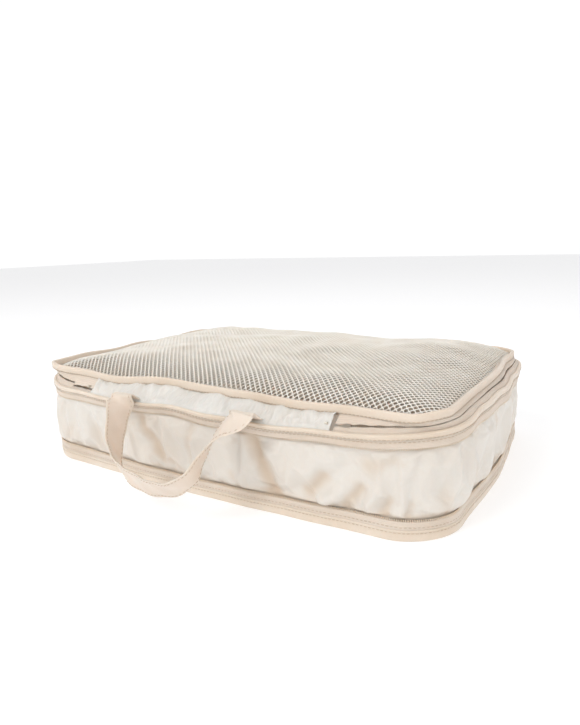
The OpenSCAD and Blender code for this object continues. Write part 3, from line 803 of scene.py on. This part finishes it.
# The net: two families of threads that cross in knots, over a low lumpy dome. Its pitch is the distance between
# threads, its angle is theirs to x, and its reach is the number of threads on each side of the middle.
NET_PITCH, NET_ANGLE, NET_REACH = 3.55, math.radians(49), 75
NET_EDGE_Z, NET_DOME = 84.6, 15.2
KNOT_HALF, THREAD_HALF, KNOT_TALL, THREAD_TALL = 0.95, 0.42, 0.50, 0.34
net_edge, _ = ring(top_level(NET_EDGE_Z), -1.0)
net_angle = np.arctan2(net_edge[:, 1], net_edge[:, 0])
net_order = np.argsort(net_angle)
net_a = net_angle[net_order]
net_r = np.linalg.norm(net_edge[:, :2], axis=1)[net_order]


def net_share(x, y):
    """0 at the middle of the lid and 1 at its rim."""
    return np.hypot(x, y) / np.interp(np.arctan2(y, x), net_a, net_r, period=2 * np.pi)


def net_height(x, y):
    s = np.clip(net_share(x, y), 0, 1)
    lumps = lumpy(x * 0.013, y * 0.013, 2.5) + 0.4 * lumpy(x * 0.035, y * 0.035, 8.5)
    dome = NET_DOME * (1 - s ** 6) * (1 + 0.12 * lumps)
    return NET_EDGE_Z + dome + 1.6 * lumps * np.clip((1 - s) * 5, 0, 1)


def net_threads(sign, lift, seed):
    """One family of threads, lift above the other between its knots: points, faces along the threads and their ends.
    Each thread is sampled at its crossings and half way between them."""
    step = NET_PITCH / math.sin(2 * NET_ANGLE)
    run = np.array([sign * math.cos(NET_ANGLE), math.sin(NET_ANGLE)])
    other = np.array([-sign * math.cos(NET_ANGLE), math.sin(NET_ANGLE)])
    crossings = np.arange(-NET_REACH, NET_REACH + 1)
    lines = []
    for j in crossings:
        p = run[None] * (crossings * step)[:, None] + other[None] * (j * step)
        ok = net_share(p[:, 0], p[:, 1]) < 0.992
        if ok.sum() < 2:
            continue
        i0, i1 = crossings[np.flatnonzero(ok)[[0, -1]]]
        q = np.arange(i0, i1 + 0.25, 0.5)
        # On to the rim at each end, whose distance is found by halving.
        for end, way in ((0, -1), (-1, 1)):
            a, b = 0.0, 1.2
            for _ in range(12):
                m = (a + b) / 2
                e = run * ((q[end] + way * m) * step) + other * (j * step)
                a, b = (m, b) if net_share(e[:1], e[1:])[0] < 1.0 else (a, m)
            q = np.insert(q, 0, q[0] - a) if way < 0 else np.append(q, q[-1] + a)
        lines.append((j, q))
    flat = np.concatenate([run[None] * (q * step)[:, None] + other[None] * (j * step) for j, q in lines])
    knots = np.concatenate([np.abs(q - np.round(q)) < 1e-6 for _, q in lines])
    r = np.random.default_rng(seed)
    z = net_height(flat[:, 0], flat[:, 1])
    across = np.array([-run[1], run[0]])
    half = np.where(knots, KNOT_HALF, THREAD_HALF) * r.uniform(0.94, 1.06, len(flat))
    tall = np.where(knots, KNOT_TALL, THREAD_TALL)
    flat = flat + across * r.normal(0, 0.05, (len(flat), 1))
    centre = np.column_stack([flat, z + np.where(knots, 0, lift)])
    side = np.append(across, 0)
    low = centre - 0.6 * UP * tall[:, None]
    section = np.stack([low + side * half[:, None], centre + UP * tall[:, None], low - side * half[:, None]], 1)
    start, faces, ends = 0, [], []
    for _, q in lines:
        faces.append(grid_faces(len(q), 3, False, True)[0] + 3 * start)
        ends += [3 * start + np.array([0, 1, 2]), 3 * (start + len(q) - 1) + np.array([2, 1, 0])]
        start += len(q)
    return section.reshape(-1, 3), np.vstack(faces), np.array(ends)


verts_a, faces_a, ends_a = net_threads(1, 0.12, 31)
verts_b, faces_b, ends_b = net_threads(-1, -0.12, 32)
net_verts = np.vstack([verts_a, verts_b])
net_faces = np.vstack([faces_a, faces_b + len(verts_a)])
net_uv = net_verts[net_faces][:, :, :2].reshape(-1, 2)
net = build("mesh_threads", net_verts, net_faces, net_yarn, net_uv, tris=np.vstack([ends_a, ends_b + len(verts_a)]))
place(net, "lid", "mesh_panel", "net")


# ---------------------------------------------------------------- handle

PIVOT_Y, PIVOT_Z = -160.2, 80.6
SPAN, DROOP = 120.0, math.radians(53)
STRAP_W, STRAP_T = 22.0, 1.5
# Places across the strap from edge to edge, and where its hems are sewn.
STRAP_U = np.array([-1, -0.985, -0.93, -0.8, -0.6, -0.3, 0, 0.3, 0.6, 0.8, 0.93, 0.985, 1])
HEM_U = 0.82
# The strap leaves both ends along its droop.
END_SLOPE = 190 * np.array([0, -math.cos(DROOP), -math.sin(DROOP)])

# The strap's way from its left end to its right end, and how far it is turned about itself at each point.
STRAP_PATH = [
    (-60, -162.0, 81.6, 0), (-59.5, -164.0, 77.5, 38), (-57, -170, 69, 74), (-53, -178, 56, 86), (-47, -185.5, 42, 100),
    (-35, -192, 32, 113), (-16, -195.5, 27.5, 117), (4, -196.5, 26, 108), (20, -194.5, 28.5, 97), (31, -189.5, 36, 85),
    (36, -181.5, 48.5, 68), (40.5, -174, 60.5, 52), (49, -169, 71.5, 30), (58.5, -165, 78, 8), (60, -162.0, 81.6, 0),
]
path_xyz = np.array(STRAP_PATH, float)[:, :3]
path_turn = np.array(STRAP_PATH, float)[:, 3]
path_s = lengths(path_xyz, False)
path_s /= path_s[-1]


def smooth_line(t, values):
    """A smooth curve through values, which are at path_s."""
    t = np.clip(t, 0, 1)
    slope = np.gradient(values, path_s, axis=0)
    if values.ndim > 1:
        slope[0], slope[-1] = END_SLOPE, -END_SLOPE
    k = np.clip(np.searchsorted(path_s, t, side="right") - 1, 0, len(path_s) - 2)
    h = path_s[k + 1] - path_s[k]
    u = (t - path_s[k]) / h
    if values.ndim > 1:
        u, h = u[:, None], h[:, None]
    return ((2 * u ** 3 - 3 * u ** 2 + 1) * values[k] + (u ** 3 - 2 * u ** 2 + u) * h * slope[k]
            + (3 * u ** 2 - 2 * u ** 3) * values[k + 1] + (u ** 3 - u ** 2) * h * slope[k + 1])


def strap_frames(t):
    """Centre, tangent, width direction and outward direction of the strap at each t."""
    c = smooth_line(t, path_xyz)
    step = 0.003
    tangent = unit(smooth_line(np.minimum(t + step, 1), path_xyz) - smooth_line(np.maximum(t - step, 0), path_xyz))
    out = np.array([0, -math.sin(DROOP), math.cos(DROOP)])
    flat = unit(np.cross(tangent, out))
    up = np.cross(flat, tangent)
    turn = np.radians(smooth_line(t, path_turn))
    width = flat * np.cos(turn)[:, None] + up * np.sin(turn)[:, None]
    # Both ends are sewn flat, with the width along the seam.
    sewn = np.clip(1 - np.minimum(t, 1 - t) / 0.05, 0, 1)[:, None]
    sewn = sewn * sewn * (3 - 2 * sewn)
    along = np.where(t < 0.5, -1.0, 1.0)[:, None] * np.array([1.0, 0, 0])
    width = unit(width * (1 - sewn) + along * sewn)
    width = unit(width - tangent * (width * tangent).sum(1)[:, None])
    return c, tangent, width, np.cross(tangent, width)


def strap_lift(t, u):
    """How far the strap curls and ripples out of its plane at t along it and u across it."""
    cup = 1.4 * np.sin(2 * np.pi * t * 1.5 + 0.4) * np.sin(np.pi * t)
    return cup * (1 - u * u) + 0.35 * np.sin(t * 60 + 3 * u)


def strap_skin(name, centre, width, face, half, lift_at, hem_depth):
    """A strap's closed skin: half its width, lift_at(u) out of its plane, with its hems pressed in by hem_depth."""
    sections = []
    for sign in (1, -1):
        for u in STRAP_U[::sign]:
            edge = math.sqrt(max(0.0, 1 - abs(u) ** 16))
            hem = -hem_depth * math.exp(-((abs(u) - HEM_U) / 0.05) ** 2)
            off = lift_at(u) + sign * (STRAP_T / 2 * edge + hem)
            sections.append(centre + width * (u * half) + face * off[:, None])
    return loft(name, np.stack(sections, 1), strap_cloth, wrap_m=False, caps=True)


def flatten_strap(obj):
    """Gives obj a mesh of its own, a copy that no other object shares."""
    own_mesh(obj)


t_strap = np.linspace(0.0, 1.0, 221)
centre, _, width, face = strap_frames(t_strap)
strap = strap_skin("handle_strap_cloth", centre, width, face, STRAP_W / 2, lambda u: strap_lift(t_strap, u), 0.22)
place(strap, "handle", "handle_strap", "strap")
flatten_strap(strap)

s_strap = lengths(centre, False)
t_sewn = np.interp(np.arange(2.0, s_strap[-1] - 2, 3.0), s_strap, t_strap)
c2, d2, w2, f2 = strap_frames(t_sewn)
rows = []
for side in (-1, 1):
    for way in (-1, 1):
        u = side * HEM_U
        off = strap_lift(t_sewn, u) + way * (STRAP_T / 2 - 0.05)
        rows.append((c2 + w2 * (u * STRAP_W / 2) + f2 * off[:, None], d2, f2 * way))
strap_thread = capsules("handle_edge_stitch_rows", *(np.concatenate(part) for part in zip(*rows)),
                        (2.1, 0.6, 0.6), thread_cloth, STITCH_BEND)
place(strap_thread, "handle", "handle_edge_stitching", "thread")
flatten_strap(strap_thread)

ANCHOR_POINTS = 46
ANCHOR_ROUND = 1.4


def anchor(name, x, seed):
    """The sewn end of the strap: out of the seam, up over the rim and round the handle's pivot."""
    path = [(-148.5, 74.2), (-151.0, 75.2), (-154.0, 77.3), (-157.2, 80.0), (-159.3, 81.6)]
    for a in np.radians(np.arange(80, -54, -12)):
        path.append((PIVOT_Y - ANCHOR_ROUND * math.cos(a), PIVOT_Z + ANCHOR_ROUND * math.sin(a)))
    path = np.array(path)
    s = lengths(path, False)
    u = np.linspace(0, s[-1], ANCHOR_POINTS)
    ker = np.array([1, 2, 3, 2, 1]) / 9
    py, pz = [np.convolve(np.pad(np.interp(u, s, path[:, i]), 2, mode="edge"), ker, "valid") for i in (0, 1)]
    c = np.column_stack([np.full(ANCHOR_POINTS, x), py, pz])
    d = unit(np.gradient(c, axis=0))
    w = np.tile([1.0, 0, 0], (ANCHOR_POINTS, 1))
    f = np.cross(w, d)
    f *= np.where(f[:, 2:].mean() < 0, -1, 1)
    obj = strap_skin(name, c, w, f, STRAP_W / 2 - 0.8,
                     lambda v: 0.3 * np.sin(v * 3 + seed) * np.linspace(0, 1, ANCHOR_POINTS), 0.0)
    return obj, c, d, f


# Two zigzag rows of stitches hold each end.
tacks = []
for side, x, seed in (("left", -SPAN / 2, 1), ("right", SPAN / 2, 4)):
    obj, c, d, f = anchor("handle_end_" + side, x, seed)
    place(obj, "upper_frame", "handle_anchor_" + side, "strap")
    for k in (13, 19):
        for i in range(15):
            middle = c[k] + np.array([-9.1 + 1.3 * i, 0, 0]) + f[k] * (STRAP_T / 2)
            tacks.append((middle, unit(d[k] + np.array([0.35 * (-1) ** i, 0, 0])), f[k]))
bartacks = capsules("handle_end_bartacks", *(np.array(part) for part in zip(*tacks)), (2.0, 0.6, 0.6), thread_cloth)
place(bartacks, "upper_frame", "handle_anchor_bartacks", "thread")


# ---------------------------------------------------------------- metal

METAL_NODES = ["compression_zip_stops", "main_zip_end_stops", "main_slider_left", "main_puller_left",
               "main_slider_right", "main_puller_right", "compression_slider", "compression_puller"]
for node in METAL_NODES:
    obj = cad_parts[node]
    obj.data.materials.clear()
    obj.data.materials.append(metal)
    weld = obj.modifiers.new("Weld", "WELD")
    weld.merge_threshold = 0.00001
    bevel = obj.modifiers.new("Bevel", "BEVEL")
    bevel.width = 0.0003
    bevel.segments = 2
    bevel.limit_method = "ANGLE"
    bevel.angle_limit = math.radians(40)


# ---------------------------------------------------------------- scene

def area_light(name, place, target, size, power, tint=(1, 1, 1)):
    data = bpy.data.lights.new(name, "AREA")
    data.shape = "RECTANGLE"
    data.size, data.size_y = size
    data.energy = power
    data.color = tint
    obj = bpy.data.objects.new(name, data)
    obj.location = place
    obj.rotation_euler = (Vector(target) - Vector(place)).to_track_quat("-Z", "Y").to_euler()
    bpy.context.scene.collection.objects.link(obj)


area_light("key", (-0.55, -1.45, 1.45), (0, 0, 0.03), (0.9, 0.8), 15.5, (1.0, 0.99, 0.97))
area_light("top", (0.1, 0.3, 1.9), (0, 0, 0), (2.2, 1.8), 9)
area_light("fill", (1.6, -0.6, 0.8), (0, 0, 0.05), (1.2, 1.2), 5, (1.0, 0.97, 0.93))

# The studio's walls are white and its ceiling is darker, so that the lamps above shape the cloth.
world = bpy.data.worlds.new("studio")
world.use_nodes = True
sky, sky_links = world.node_tree.nodes, world.node_tree.links
direction = sky.new("ShaderNodeTexCoord")
sky_split = sky.new("ShaderNodeSeparateXYZ")
sky_links.new(direction.outputs["Generated"], sky_split.inputs[0])
sky_ramp = sky.new("ShaderNodeValToRGB")
sky_shades = ((0.40, (1.02, 1.02, 1.02, 1)), (0.72, (0.38, 0.38, 0.39, 1)))
for element, shade in zip(sky_ramp.color_ramp.elements, sky_shades):
    element.position, element.color = shade
sky_links.new(sky_split.outputs[2], sky_ramp.inputs[0])
sky_links.new(sky_ramp.outputs[0], sky["Background"].inputs[0])
bpy.context.scene.world = world

floor_look = Look("pale_floor")
floor_look.set(Base_Color=(0.62, 0.62, 0.625, 1), Emission_Color=(1, 1, 1, 1), Emission_Strength=0.47, Roughness=0.9)
FLOOR_HALF = 6000
floor_corners = [(x * FLOOR_HALF, y * FLOOR_HALF, 0) for x, y in ((-1, -1), (1, -1), (1, 1), (-1, 1))]
build("floor", floor_corners, [[0, 1, 2, 3]], floor_look.mat, smooth=False)

# The camera stands where the photo's did, as fitted to the seams' outlines.
YAW, PITCH, ROLL = math.radians(31.32), math.radians(12.02), math.radians(-1.7)
FOCAL_MM = 27.96
CAMERA_PLACE = (0.290, -0.471, 0.199)
sin_yaw, cos_yaw, sin_pitch, cos_pitch = math.sin(YAW), math.cos(YAW), math.sin(PITCH), math.cos(PITCH)
forward = Vector((-sin_yaw * cos_pitch, cos_yaw * cos_pitch, -sin_pitch))
right = Vector((cos_yaw, sin_yaw, 0))
up = Vector((-sin_yaw * sin_pitch, cos_yaw * sin_pitch, cos_pitch))
right, up = math.cos(ROLL) * right + math.sin(ROLL) * up, -math.sin(ROLL) * right + math.cos(ROLL) * up
camera_data = bpy.data.cameras.new("camera")
camera_data.lens = FOCAL_MM
camera_data.clip_start = 0.01
camera = bpy.data.objects.new("camera", camera_data)
camera.matrix_world = Matrix.Translation(CAMERA_PLACE) @ Matrix((right, up, -forward)).transposed().to_4x4()
bpy.context.scene.collection.objects.link(camera)
bpy.context.scene.camera = camera
bpy.context.scene.view_settings.view_transform = "Standard"
